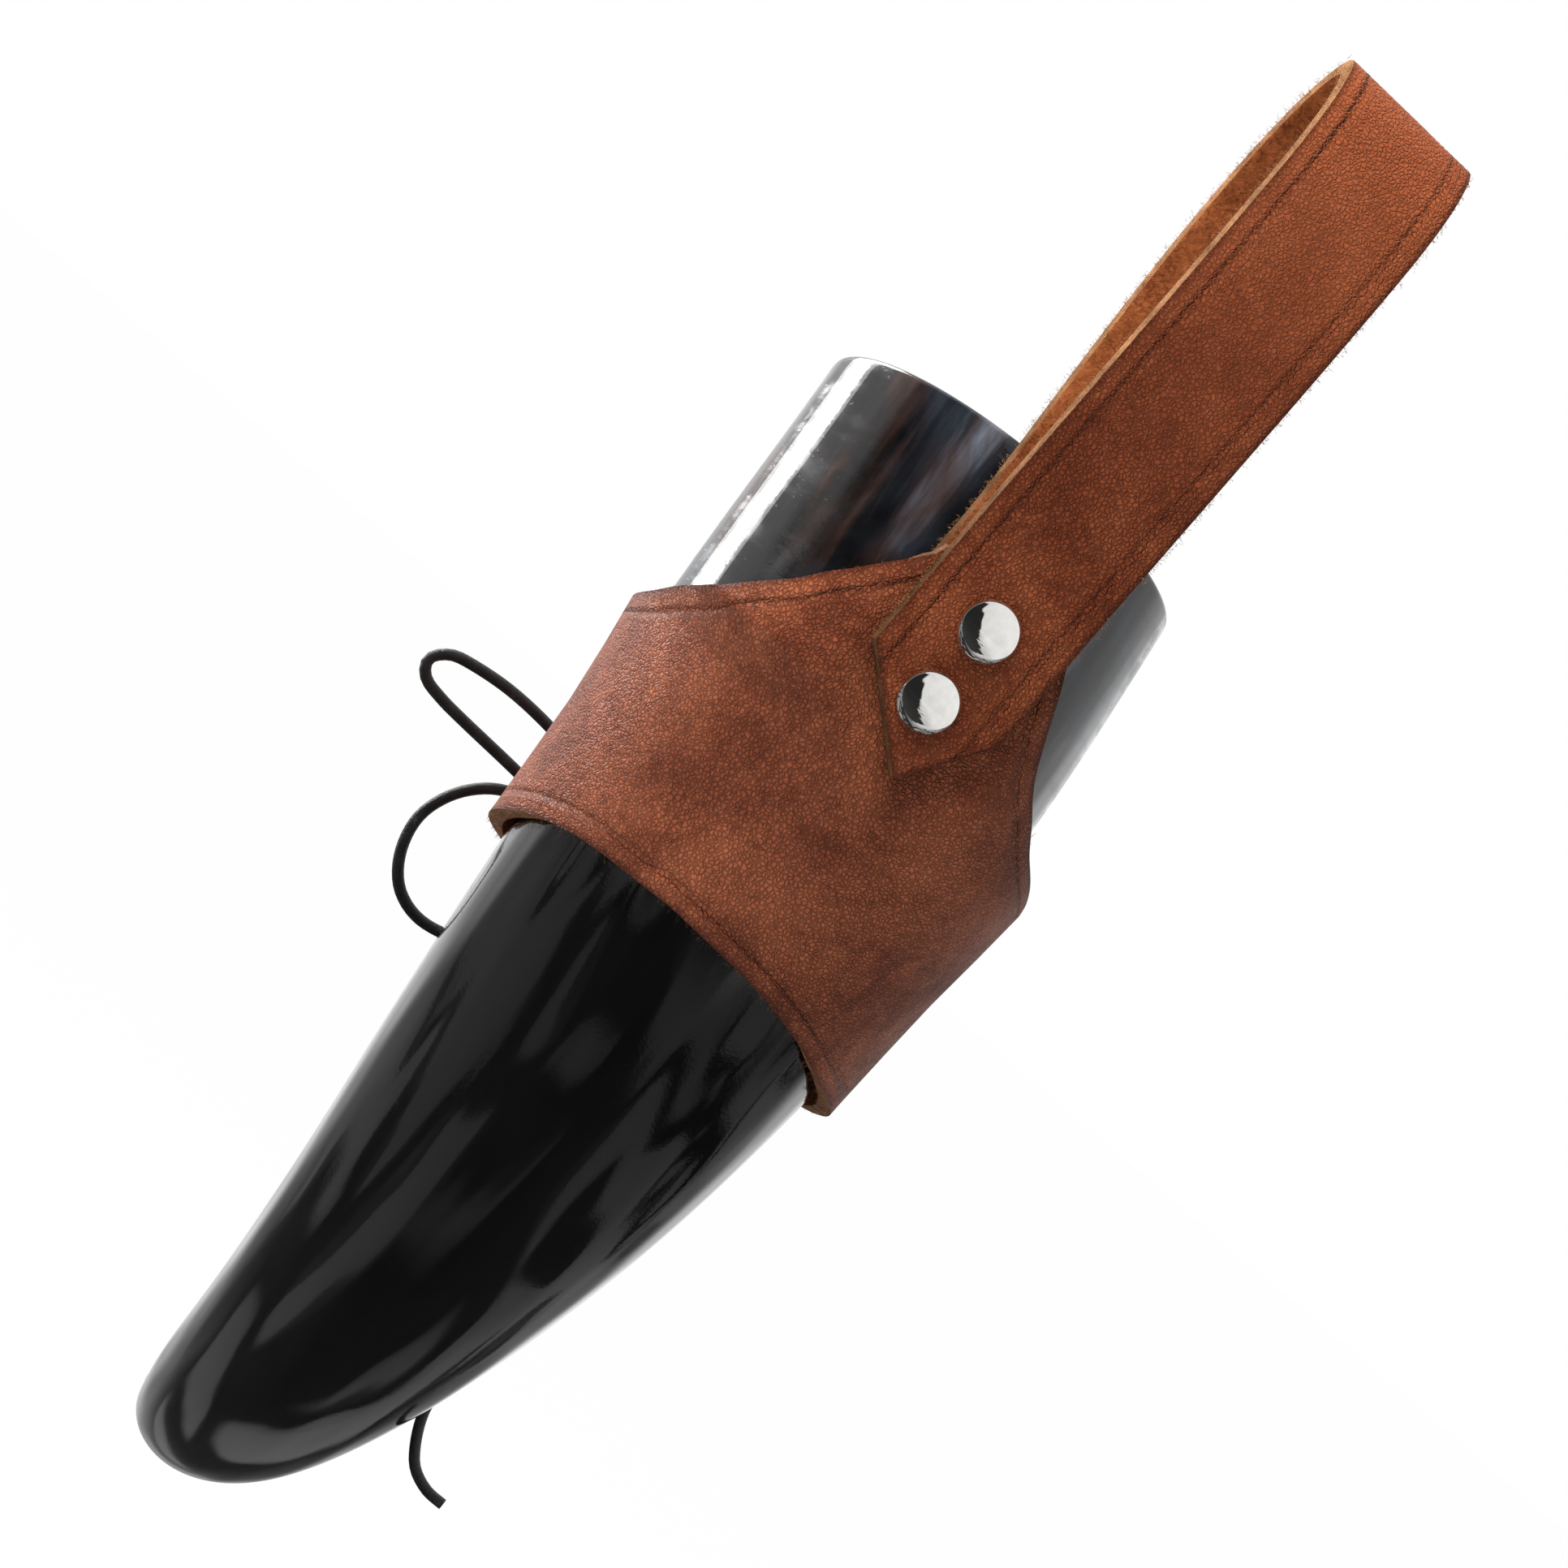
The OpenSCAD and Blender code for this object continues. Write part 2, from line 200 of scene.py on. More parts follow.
def blend_colour(tree, how, share, a, b):
    n = add(tree, "ShaderNodeMix", {0: share, 6: a, 7: b}, data_type="RGBA", blend_type=how)
    return n.outputs[2]


def noise(tree, where, scale, detail, roughness=0.5, distortion=0.0, out=0):
    values = {"Vector": where, "Scale": scale, "Detail": detail, "Roughness": roughness, "Distortion": distortion}
    return add(tree, "ShaderNodeTexNoise", values).outputs[out]


def remap(tree, value, low, high, at_low, at_high, ease="LINEAR"):
    return add(tree, "ShaderNodeMapRange", {0: value, 1: low, 2: high, 3: at_low, 4: at_high},
               interpolation_type=ease).outputs[0]


def object_place(tree):
    return add(tree, "ShaderNodeTexCoord").outputs["Object"]


def bump(tree, strength, distance, height, **over):
    """A bump in metres, over the normal of another if one is given."""
    values = {"Strength": strength, "Distance": distance, "Height": height, **over}
    return add(tree, "ShaderNodeBump", values).outputs[0]


def times(c, share):
    """A colour made lighter or darker."""
    return (*(v * share for v in c), 1)


def group(name, ins, outs):
    g = bpy.data.node_groups.new(name, "ShaderNodeTree")
    for n, kind, value in ins:
        s = g.interface.new_socket(n, in_out="INPUT", socket_type=kind)
        if value is not None:
            s.default_value = value
    for n, kind in outs:
        g.interface.new_socket(n, in_out="OUTPUT", socket_type=kind)
    return g, g.nodes.new("NodeGroupInput").outputs, g.nodes.new("NodeGroupOutput").inputs


def hide_grain_group():
    """Grain of oiled leather: blotches, creased pores and the height of both."""
    g, i, o = group("hide_grain", [("Vector", "NodeSocketVector", None), ("Pore Scale", "NodeSocketFloat", 1500.0)],
                    [("Blotch", "NodeSocketFloat"), ("Fleck", "NodeSocketFloat"), ("Pore", "NodeSocketFloat"),
                     ("Height", "NodeSocketFloat")])
    v = i["Vector"]
    big = noise(g, v, 38.0, 3.0, 0.55, 0.7)
    mid = noise(g, v, 150.0, 5.0, 0.62, 0.9)
    fine = noise(g, v, 900.0, 4.0, 0.6, 0.5)
    shift = noise(g, v, 700.0, 2.0, out=1)
    moved = add(g, "ShaderNodeVectorMath", {0: shift, 3: 0.0006}, operation="SCALE").outputs[0]
    place = add(g, "ShaderNodeVectorMath", {0: v, 1: moved}, operation="ADD").outputs[0]
    pore = add(g, "ShaderNodeTexVoronoi", {"Vector": place, "Scale": i["Pore Scale"]},
               feature="DISTANCE_TO_EDGE").outputs[0]
    crack = remap(g, pore, 0.0, 0.24, 0.0, 1.0, "SMOOTHSTEP")
    g.links.new(math_node(g, "ADD", math_node(g, "MULTIPLY", big, 0.62), math_node(g, "MULTIPLY", mid, 0.38)),
                o["Blotch"])
    g.links.new(fine, o["Fleck"])
    g.links.new(crack, o["Pore"])
    low = math_node(g, "MULTIPLY_ADD", fine, 0.8, math_node(g, "MULTIPLY", crack, 0.45))
    g.links.new(math_node(g, "MULTIPLY_ADD", mid, 0.6, low), o["Height"])
    return g


def crease_group():
    """The pressed line a few millimetres inside the cut edge, from the distance to that edge."""
    g, i, o = group("edge_crease", [("Distance", "NodeSocketFloat", 10.0), ("Edge", "NodeSocketFloat", 10.0),
                                    ("Inset", "NodeSocketFloat", 3.3), ("Width", "NodeSocketFloat", 0.62)],
                    [("Groove", "NodeSocketFloat"), ("Height", "NodeSocketFloat"), ("Rim", "NodeSocketFloat")])

    def bump_at(offset, width):
        d = math_node(g, "SUBTRACT", i["Distance"], math_node(g, "ADD", i["Inset"], offset))
        q = math_node(g, "DIVIDE", d, math_node(g, "MULTIPLY", i["Width"], width))
        return math_node(g, "EXPONENT", math_node(g, "MULTIPLY", math_node(g, "MULTIPLY", q, q), -1.0))

    groove = bump_at(0.0, 1.0)
    shoulder = bump_at(-0.75, 1.1)
    rim = remap(g, i["Edge"], 0.0, 1.3, 1.0, 0.0, "SMOOTHSTEP")
    g.links.new(groove, o["Groove"])
    height = math_node(g, "SUBTRACT", math_node(g, "MULTIPLY", shoulder, 0.4), groove)
    g.links.new(math_node(g, "SUBTRACT", height, math_node(g, "MULTIPLY", rim, 0.6)), o["Height"])
    g.links.new(rim, o["Rim"])
    return g


HIDE_GRAIN = hide_grain_group()
CREASE = crease_group()


def new_material(name):
    m = bpy.data.materials.new(name)
    m.use_nodes = True
    tree = m.node_tree
    return m, tree, tree.nodes["Principled BSDF"]


def grain_leather(name, dark, middle, light, flip=0.0, lit_from_z=None):
    """Oiled full grain side with the crease along its edges.

    flip moves the grain, so that two hides differ; above the given height the hide is painted lighter towards the
    fold: painted light from above."""
    m, t, skin = new_material(name)
    where = object_place(t)
    where = add(t, "ShaderNodeMapping", {"Vector": where, "Location": (flip, flip * 0.7, -flip)}).outputs[0]
    hide = add(t, "ShaderNodeGroup", {}, node_tree=HIDE_GRAIN)
    t.links.new(where, hide.inputs["Vector"])
    line = add(t, "ShaderNodeGroup", {}, node_tree=CREASE)
    for mark, socket in (("crease_mm", "Distance"), ("edge_mm", "Edge")):
        t.links.new(add(t, "ShaderNodeAttribute", {}, attribute_name=mark).outputs["Fac"], line.inputs[socket])
    tone = math_node(t, "MULTIPLY_ADD", math_node(t, "SUBTRACT", hide.outputs["Fleck"], 0.5), 0.34,
                     hide.outputs["Blotch"])
    colour = ramp(t, tone, [(0.30, dark), (0.45, middle), (0.62, light), (0.80, times(light, 1.25))])
    shade = remap(t, hide.outputs["Pore"], 0.0, 1.0, 0.64, 1.12)
    colour = blend_colour(t, "MULTIPLY", 1.0, colour, shade)
    if lit_from_z:
        # painted light from above: the hide is made lighter towards the fold
        height = add(t, "ShaderNodeSeparateXYZ", {0: object_place(t)}).outputs[2]
        painted_top_light = remap(t, height, lit_from_z, 0.0, 0.0, 0.5, "SMOOTHSTEP")
        colour = blend_colour(t, "MIX", painted_top_light, colour, times(light, 1.5))
    # painted shade along the cut edges, over the edge's own darker finish: the hide is darkened within 1.3 mm of
    # its edge
    rim = math_node(t, "MULTIPLY", line.outputs["Rim"], 0.7)
    colour = blend_colour(t, "MIX", rim, colour, times(dark, 0.5))
    # painted shade in the crease's groove
    groove = math_node(t, "MULTIPLY", line.outputs["Groove"], 0.10)
    colour = blend_colour(t, "MIX", groove, colour, times(dark, 0.6))
    t.links.new(colour, skin.inputs["Base Color"])
    gloss = remap(t, hide.outputs["Blotch"], 0.35, 0.65, 0.56, 0.46)
    t.links.new(gloss, skin.inputs["Roughness"])
    deep = bump(t, 1.0, 0.00055, line.outputs["Height"])
    t.links.new(bump(t, 1.0, 0.00042, hide.outputs["Height"], Normal=deep), skin.inputs["Normal"])
    skin.inputs["Specular IOR Level"].default_value = 0.14
    return m


def raw_leather(name, dark, light, scale, depth, darkened_below_z=None):
    """Unfinished leather: the suede flesh side, or the fibres of a cut edge, darker below a given height: burnished
    dark, and painted shade where the strap lies on the sleeve.
    """
    m, t, skin = new_material(name)
    where = object_place(t)
    nap = noise(t, where, scale, 6.0, 0.7, 1.2)
    broad = noise(t, where, scale * 0.12, 3.0)
    tone = math_node(t, "MULTIPLY_ADD", broad, 0.4, math_node(t, "MULTIPLY", nap, 0.6))
    colour = ramp(t, tone, [(0.36, dark), (0.62, light)])
    if darkened_below_z:
        # burnished edge and painted shade: darker below the given height, where the strap lies on the sleeve
        height = add(t, "ShaderNodeSeparateXYZ", {0: where}).outputs[2]
        burnish_and_shade = remap(t, height, darkened_below_z, darkened_below_z + 0.04, 0.38, 1.0)
        colour = blend_colour(t, "MULTIPLY", 1.0, colour, burnish_and_shade)
    t.links.new(colour, skin.inputs["Base Color"])
    t.links.new(bump(t, 0.9, depth, nap), skin.inputs["Normal"])
    skin.inputs["Roughness"].default_value = 0.9
    skin.inputs["Specular IOR Level"].default_value = 0.05
    return m


SLEEVE_GRAIN = grain_leather("sleeve_grain", (0.105, 0.025, 0.011), (0.180, 0.045, 0.019), (0.300, 0.085, 0.036))
STRAP_GRAIN = grain_leather("strap_grain", (0.105, 0.022, 0.008), (0.172, 0.037, 0.0125), (0.275, 0.071, 0.026),
                            flip=0.31, lit_from_z=-0.075)
FLESH = raw_leather("flesh_side", (0.11, 0.027, 0.009), (0.44, 0.138, 0.046), 950.0, 0.0007)
CUT = raw_leather("cut_edge", (0.12, 0.045, 0.020), (0.50, 0.24, 0.11), 2600.0, 0.0003)
# The sleeve's cut edges and their fibres: a darker copy of the cut edge, painted shade.
SHADED_CUT = raw_leather("shaded_cut_edge", (0.045, 0.019, 0.010), (0.20, 0.095, 0.048), 2600.0, 0.0003)
STRAP_CUT = raw_leather("strap_cut_edge", (0.10, 0.042, 0.018), (0.40, 0.195, 0.088), 1900.0, 0.0005,
                        darkened_below_z=-0.09)


def cord_leather():
    """Round thong: dyed black, waxed, a little fibrous."""
    m, t, skin = new_material("black_thong")
    where = object_place(t)
    fibre = noise(t, where, 2400.0, 5.0, 0.65, 1.5)
    worn = noise(t, where, 260.0, 4.0)
    tone = math_node(t, "MULTIPLY", fibre, worn)
    t.links.new(ramp(t, tone, [(0.16, (0.004, 0.004, 0.0042)), (0.34, (0.012, 0.011, 0.011)),
                               (0.46, (0.06, 0.055, 0.052))]), skin.inputs["Base Color"])
    t.links.new(remap(t, worn, 0.3, 0.7, 0.38, 0.6),
                skin.inputs["Roughness"])
    t.links.new(bump(t, 0.8, 0.00022, fibre), skin.inputs["Normal"])
    return m


THONG = cord_leather()

# ---- sleeve's shape, from which the lace takes its places ------------------------------------
# Lengths are in millimetres and heights start at the lower rivet; angles go round from the strap.
HIDE_T = 2.8
# height, then the middle and the half widths of the sleeve's hollow, across and front to back
SECTION = np.array([
    (-63, 8.6, 45.1, 32.2, 33.9), (-53, 7.6, 42.0, 32.4, 33.9), (-43, 6.6, 39.1, 32.8, 34.3),
    (-33, 5.7, 36.5, 33.3, 34.7), (-23, 4.8, 34.3, 34.3, 35.5), (-14, 3.9, 32.7, 35.3, 36.1),
    (-7, 1.1, 30.7, 36.3, 36.8), (3, 0.4, 30.7, 36.3, 36.5), (21, 0.0, 30.7, 36.3, 36.5)])
FLAT_Y = -3.0  # the leather is pressed flat here, under the strap's riveted end
FLAT_TO = 60
SEAM_LIFT = 2.6  # the laced ends stand off the horn by this much
LIFT_FROM, LIFT_OVER = 140, 24
# angle and height of the two cuts, each measured from its own start
TOP_CUT = np.array([
    (0, 19), (17.5, 19), (19, 16.6), (28, 7.4), (34.5, 2), (43, -2.6), (51, -6.5),
    (62, -9.6), (77, -13), (90, -14.5), (120, -17), (150, -19.5), (190, -20.5)])
BOTTOM_CUT = np.array([
    (0, -46), (24, -46.9), (46, -49.4), (61, -52), (81, -54.8), (100, -57), (130, -60), (160, -61.6), (180, -62)])
BOTTOM_START = 21
SEAM_END = 180 - 6.5
GIRTH_R = 38.5  # mean radius by which the flat sleeve is measured
LACE_ROWS = (-27, -37, -47)
LACE_ANGLE = 166


def sleeve_at(a, z, off):
    """Place on the leather at angle a round from the strap, height z, off outside its inner face."""
    a, z = np.asarray(a, float), np.asarray(z, float)
    turn = np.abs(np.where(a <= 180, a, 360 - a))
    t = np.clip((turn - LIFT_FROM) / LIFT_OVER, 0, 1)
    o = off + SEAM_LIFT * t * t * (3 - 2 * t)
    cx, cy, ax, ay = (np.interp(z, SECTION[:, 0], SECTION[:, k]) for k in (1, 2, 3, 4))
    r = np.radians(a)
    y = cy - (ay + o) * np.cos(r)
    y = np.where(np.abs(a) < FLAT_TO, np.maximum(y, FLAT_Y - o), y)
    return np.stack([cx + (ax + o) * np.sin(r), y, z + 0 * a], axis=-1)


def top_at(a):
    """Height of the top cut: straight beside the strap, then a smooth sweep, a little turned to one side."""
    a = np.abs(a + 4 * np.clip((np.abs(a) - 19) / 16, 0, 1))
    straight = np.interp(a, TOP_CUT[:, 0], TOP_CUT[:, 1])
    return np.where(a < TOP_CUT[3, 0], straight, flowing(a, TOP_CUT[3:, 0], TOP_CUT[3:, 1]))


def bottom_at(a):
    """Height of the bottom cut, which is highest in front, off to one side, and lowest behind."""
    b = np.abs(a + BOTTOM_START)
    return flowing(np.where(b > 180, 360 - b, b), BOTTOM_CUT[:, 0], BOTTOM_CUT[:, 1])


# ---- cords -------------------------------------------------------------------------------
CORD_D = 2.0
CORD_GAP = 0.15  # between the cord and the leather it crosses
KNOT_AT = np.array([7.6, 80.2, -50.5])
LOOP_UPPER = [
    (5.2, 82.4, -49.6), (0.5, 84.2, -47), (-7.6, 83.2, -42.6), (-19.6, 81.2, -40), (-30.6, 80.4, -39.2),
    (-39.5, 80.4, -40.1), (-43, 80.4, -41.4), (-44.7, 80.4, -43.9), (-43, 80.4, -46.4), (-39, 80.4, -47.4),
    (-33.6, 80.4, -47.9), (-22.6, 80.8, -48.6), (-11, 81.8, -49.6), (-3, 83.2, -50.8), (5.2, 82.6, -51.8)]
LOOP_LOWER = [
    (5.6, 81.3, -53.6), (0, 83.4, -54.4), (-9, 83.6, -52.8), (-17, 82.4, -51.6), (-22.6, 81, -53.2),
    (-27.2, 80.4, -58), (-29.2, 80.4, -64.4), (-27.6, 80.4, -71), (-23.4, 80.6, -75.8), (-17, 81.2, -77.4),
    (-9, 83.4, -75.2), (-1, 84.8, -68.6), (4.8, 84.6, -60.6), (7.8, 82, -53.2)]
TAIL_RIGHT = [
    (10.9, 81.8, -50.6), (14.6, 83.8, -56), (18.6, 84.4, -64), (23.6, 86.4, -76), (28.8, 89.2, -89),
    (33.6, 92.4, -102), (37.6, 95.8, -114), (40.8, 99, -126), (42, 101, -136),
    (43, 101.8, -145), (47, 101, -152.4), (51.4, 100, -155), (55.6, 99, -155.2)]
TAIL_LEFT = [
    (9.9, 81.2, -52.8), (10.6, 84.6, -60), (11.6, 86.8, -71), (12.6, 89.8, -82), (13.6, 94, -93),
    (14.6, 99, -104), (15.6, 105.4, -115)]


def thong(name, line):
    """A round thong along a line given in metres, as one curve with its real thickness."""
    curve = bpy.data.curves.new(name, "CURVE")
    curve.dimensions = "3D"
    curve.bevel_depth = CORD_D / 2 * MM
    curve.bevel_resolution = 5
    curve.use_fill_caps = True
    spline = curve.splines.new("POLY")
    spline.points.add(len(line) - 1)
    for p, q in zip(spline.points, line):
        p.co = (*q, 1)
        p.radius = 1.0
    piece = bpy.data.objects.new(name, curve)
    scene.collection.objects.link(piece)
    curve.materials.append(THONG)
    return piece


def knot_of_thong():
    """The bow's knot: two turns of the cord round the loops' roots, tucked in at both ends."""
    start, sweep, half_length, steps = -60, 820, 2.3, 60
    turns = []
    for k in range(steps + 1):
        t = k / steps
        a = math.radians(start + sweep * t)
        r = 2.05 if 0.06 < t < 0.94 else 1.75
        turns.append((KNOT_AT[0] - half_length + 2 * half_length * t,
                      KNOT_AT[1] + r * math.cos(a), KNOT_AT[2] + r * math.sin(a)))
    return thong("bow_knot", even(rounded(hung(turns), 2), 0.0006))


def laced_seam():
    """The cord's crossings over the seam, from the knot round the three rows of holes and back."""
    over, under = HIDE_T + CORD_D / 2 + CORD_GAP, -CORD_D / 2 - CORD_GAP
    hole, top, middle, low = 180 - LACE_ANGLE, *LACE_ROWS

    def crossing(s, z, mid):
        """Over one end of the sleeve, through the seam's gap, under the other end and out of its next hole."""
        return [sleeve_at(180 - s * 12.6, z - 0.4, over), sleeve_at(180 - s * 5.5, z - 2.6, over),
                sleeve_at(180, z - 5, HIDE_T / 2 + mid), sleeve_at(180 + s * 5.5, z - 7.4, under),
                sleeve_at(180 + s * 12.4, z - 9.8, under), sleeve_at(180 + s * hole, z - 10, 0.2),
                sleeve_at(180 + s * hole, z - 10, HIDE_T - 0.2)]

    def side(s, mid):
        """One half of the cord, from under the top row down to the bottom row."""
        return ([sleeve_at(180 - s * 12.6, top, under), sleeve_at(180 - s * hole, top, 0.2),
                 sleeve_at(180 - s * hole, top, HIDE_T - 0.2)]
                + crossing(s, top, mid) + crossing(-s, middle, mid)
                + [sleeve_at(180 - s * 12.4, low + 0.1, over), sleeve_at(180 - s * 7.4, low + 0.4, over + 0.3)])

    a, b = side(1, 1.15), side(-1, -1.15)
    points = ([KNOT_AT + [-1.6, -0.4, 1.6]] + a[::-1] + [sleeve_at(180, top, under)] + b
              + [KNOT_AT + [1.6, -0.4, 1.6]])
    return thong("seam_lacing", even(rounded(hung(points), 6), 0.0006))


def tie_the_cord():
    """The lacing, the knot, and the loops and tails that leave it."""
    knot = knot_of_thong()
    lacing = laced_seam()
    ends = [
        ("bow_loop_upper", LOOP_UPPER, "lace_loop_upper", "object"),
        ("bow_loop_lower", LOOP_LOWER, "lace_loop_lower", "object"),
        ("cord_tail_right", TAIL_RIGHT, "lace_tail_right", "bare"),
        ("cord_tail_left", TAIL_LEFT, "lace_tail_left", "bare"),
    ]
    for name, route, node, far in ends:
        line = even(rounded(hung(route), 8), 0.0012)
        piece = thong(name, line)
        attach(piece, "holster")
        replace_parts(piece, node)
    for piece, node in ((knot, "lace_knot"), (lacing, "lace")):
        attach(piece, "holster")
        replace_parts(piece, node)


tie_the_cord()


# ---- leather pieces ----------------------------------------------------------------------
LACE_HOLE_R, RIVET_HOLE_R = 1.5, 1.6
RIVET_X = -0.2
PIN_L, PIN_Y = 12, -4.4  # the punch reaches through both layers
RIVETS = {"upper": 13.0, "lower": 0.0}


def from_cut_edge(points, outline):
    """Distance in millimetres from each point of the flat pattern to its cut outline."""
    p = np.asarray(points, float)
    best = np.full(len(p), 1e9)
    for a, b in zip(outline[:-1], outline[1:]):
        d = b - a
        n = float(d @ d)
        if n < 1e-12:
            continue
        t = np.clip(((p - a) @ d) / n, 0, 1)
        best = np.minimum(best, np.linalg.norm(p - (a + t[:, None] * d), axis=1))
    return best


def flat_blank(name, columns, rows):
    """A flat blank of leather, unit wide and high, ready to be wrapped to its shape."""
    nothing_selected()
    bpy.ops.mesh.primitive_grid_add(x_subdivisions=columns, y_subdivisions=rows, size=1, calc_uvs=True)
    piece = bpy.context.object
    piece.name = piece.data.name = name
    co = np.empty(len(piece.data.vertices) * 3)
    piece.data.vertices.foreach_get("co", co)
    return piece, co.reshape(-1, 3)[:, :2] + 0.5


def shape_blank(piece, places, **marks):
    """The blank takes its places, and carries the distances that its crease and worn edge are drawn from, and with
    them the painted shade in the crease and along the edge.
    """
    piece.data.vertices.foreach_set("co", (places * MM).ravel())
    for name, values in marks.items():
        layer = piece.data.attributes.new(name, "FLOAT", "POINT")
        layer.data.foreach_set("value", np.asarray(values, np.float32))
    piece.data.update()


def thicken(piece, grain, edge_finish):
    """Full hide thickness under the grain side, with the cut edges a little worn."""
    for m in (grain, edge_finish, FLESH):
        piece.data.materials.append(m)
    wall = piece.modifiers.new("hide", "SOLIDIFY")
    wall.thickness = HIDE_T * MM
    wall.offset = -1
    wall.use_even_offset = True
    wall.material_offset_rim = 1
    wall.material_offset = 2
    edge = piece.modifiers.new("worn edge", "BEVEL")
    edge.width = 0.32 * MM
    edge.segments = 2
    edge.limit_method = "ANGLE"
    edge.angle_limit = math.radians(55)
    edge.harden_normals = False
    return apply_all(piece)


def fray(name, rims, outward, seed, count, reach, finish):
    """Loose fibres along a cut edge, each a thin three-sided spike up to reach millimetres long."""
    rng = random.Random(seed)
    shape = bmesh.new()
    for _ in range(count):
        i = rng.randrange(len(rims))
        base = Vector(rims[i]) + Vector([rng.uniform(-0.5, 0.5) * MM for _ in range(3)])
        out = Vector(outward[i]).normalized()
        lean = Vector([rng.gauss(0, 0.55) for _ in range(3)])
        tip_way = (out + lean).normalized()
        length = reach * MM * rng.uniform(0.35, 1.0) ** 1.5
        u = tip_way.orthogonal().normalized() * rng.uniform(0.025, 0.05) * MM
        w = tip_way.cross(u)
        curl = Vector([rng.gauss(0, 0.3) for _ in range(3)]) * length
        corners = [u * math.cos(q) + w * math.sin(q) for q in (0, 2.094, 4.189)]
        low = [shape.verts.new(base + c) for c in corners]
        mid = [shape.verts.new(base + tip_way * length * 0.55 + c * 0.8) for c in corners]
        tip = shape.verts.new(base + tip_way * length + curl)
        for k in range(3):
            n = (k + 1) % 3
            shape.faces.new((low[k], low[n], mid[n], mid[k]))
            shape.faces.new((mid[k], mid[n], tip))
        shape.faces.new(low[::-1])
    data = bpy.data.meshes.new(name)
    shape.to_mesh(data)
    shape.free()
    piece = bpy.data.objects.new(name, data)
    scene.collection.objects.link(piece)
    data.materials.append(finish)
    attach(piece, "holster")
    return piece


def cut_sleeve():
    columns, rows = 256, 72
    piece, part = flat_blank("sleeve_leather", columns, rows)
    a = -SEAM_END + 2 * SEAM_END * part[:, 0]
    z = bottom_at(a) + (top_at(a) - bottom_at(a)) * part[:, 1]
    edge = np.linspace(-SEAM_END, SEAM_END, 400)
    outline = np.concatenate([on_pattern(edge, bottom_at(edge)), on_pattern(edge[::-1], top_at(edge[::-1]))])
    gap = from_cut_edge(on_pattern(a, z), np.concatenate([outline, outline[:1]]))
    shape_blank(piece, sleeve_at(a, z, HIDE_T) + [0, 0, -STRAP_DROP], crease_mm=gap, edge_mm=gap)
    if facing_in(piece):
        turn_over(piece)
    thicken(piece, SLEEVE_GRAIN, SHADED_CUT)
    punch(piece, lace_punches() + rivet_punches())
    smooth_by_angle(piece, 40)
    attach(piece, "holster")
    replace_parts(piece, "sleeve")
    at = np.linspace(-SEAM_END, SEAM_END, 700)
    for name, height_at, way, seed, count in (("sleeve_fray_top", top_at, 1, 3, 420),
                                              ("sleeve_fray_bottom", bottom_at, -1, 5, 620)):
        pick = random.Random(seed)
        depths = np.array([pick.uniform(0.15, HIDE_T - 0.15) for _ in at])
        rims = hung(sleeve_at(at, height_at(at), depths))
        ways = np.tile([0, 0, way], (len(at), 1))
        fray(name, rims, ways, seed, count, 1.0, SHADED_CUT)


def on_pattern(a, z):
    """Where a place on the sleeve lies on its flat pattern."""
    return np.stack([np.radians(a) * GIRTH_R, z], axis=1)


def facing_in(piece):
    """Whether the blank's faces look towards the middle of the piece."""
    front = min(piece.data.polygons, key=lambda f: f.center.y)
    return front.normal.y > 0


def lace_punches():
    out = []
    for z in LACE_ROWS:
        for s in (-1, 1):
            c = hung(sleeve_at(s * LACE_ANGLE, z, HIDE_T / 2))
            out.append((Vector(c), math.radians(s * LACE_ANGLE), LACE_HOLE_R * MM))
    return out


def rivet_punches():
    return [(Vector((RIVET_X * MM, PIN_Y * MM, (z - STRAP_DROP) * MM)), 0.0, RIVET_HOLE_R * MM)
            for z in RIVETS.values()]


def punch(piece, holes):
    """Round holes through the leather, each cut square to its face."""
    pins = []
    for place, turn, radius in holes:
        nothing_selected()
        bpy.ops.mesh.primitive_cylinder_add(vertices=28, radius=radius, depth=PIN_L * MM, location=place,
                                            rotation=(math.radians(90), 0, turn))
        pins.append(bpy.context.object)
    nothing_selected()
    for p in pins:
        p.select_set(True)
    bpy.context.view_layer.objects.active = pins[0]
    bpy.ops.object.join()
    pin = settle(pins[0])
    pin.data.materials.append(CUT)
    near = kdtree.KDTree(len(piece.data.vertices))
    for v in piece.data.vertices:
        near.insert(v.co, v.index)
    near.balance()
    # the cut drops the marks, so each point takes back that of the nearest old one
    marks = {k: [d.value for d in piece.data.attributes[k].data] for k in ("crease_mm", "edge_mm")}
    cut = piece.modifiers.new("holes", "BOOLEAN")
    cut.object = pin
    cut.solver = "EXACT"
    cut.material_mode = "TRANSFER"
    apply_all(piece)
    bpy.data.objects.remove(pin, do_unlink=True)
    was = [near.find(v.co)[1] for v in piece.data.vertices]
    for name, kept in marks.items():
        if piece.data.attributes.get(name):
            piece.data.attributes.remove(piece.data.attributes[name])
        layer = piece.data.attributes.new(name, "FLOAT", "POINT")
        layer.data.foreach_set("value", [kept[i] for i in was])


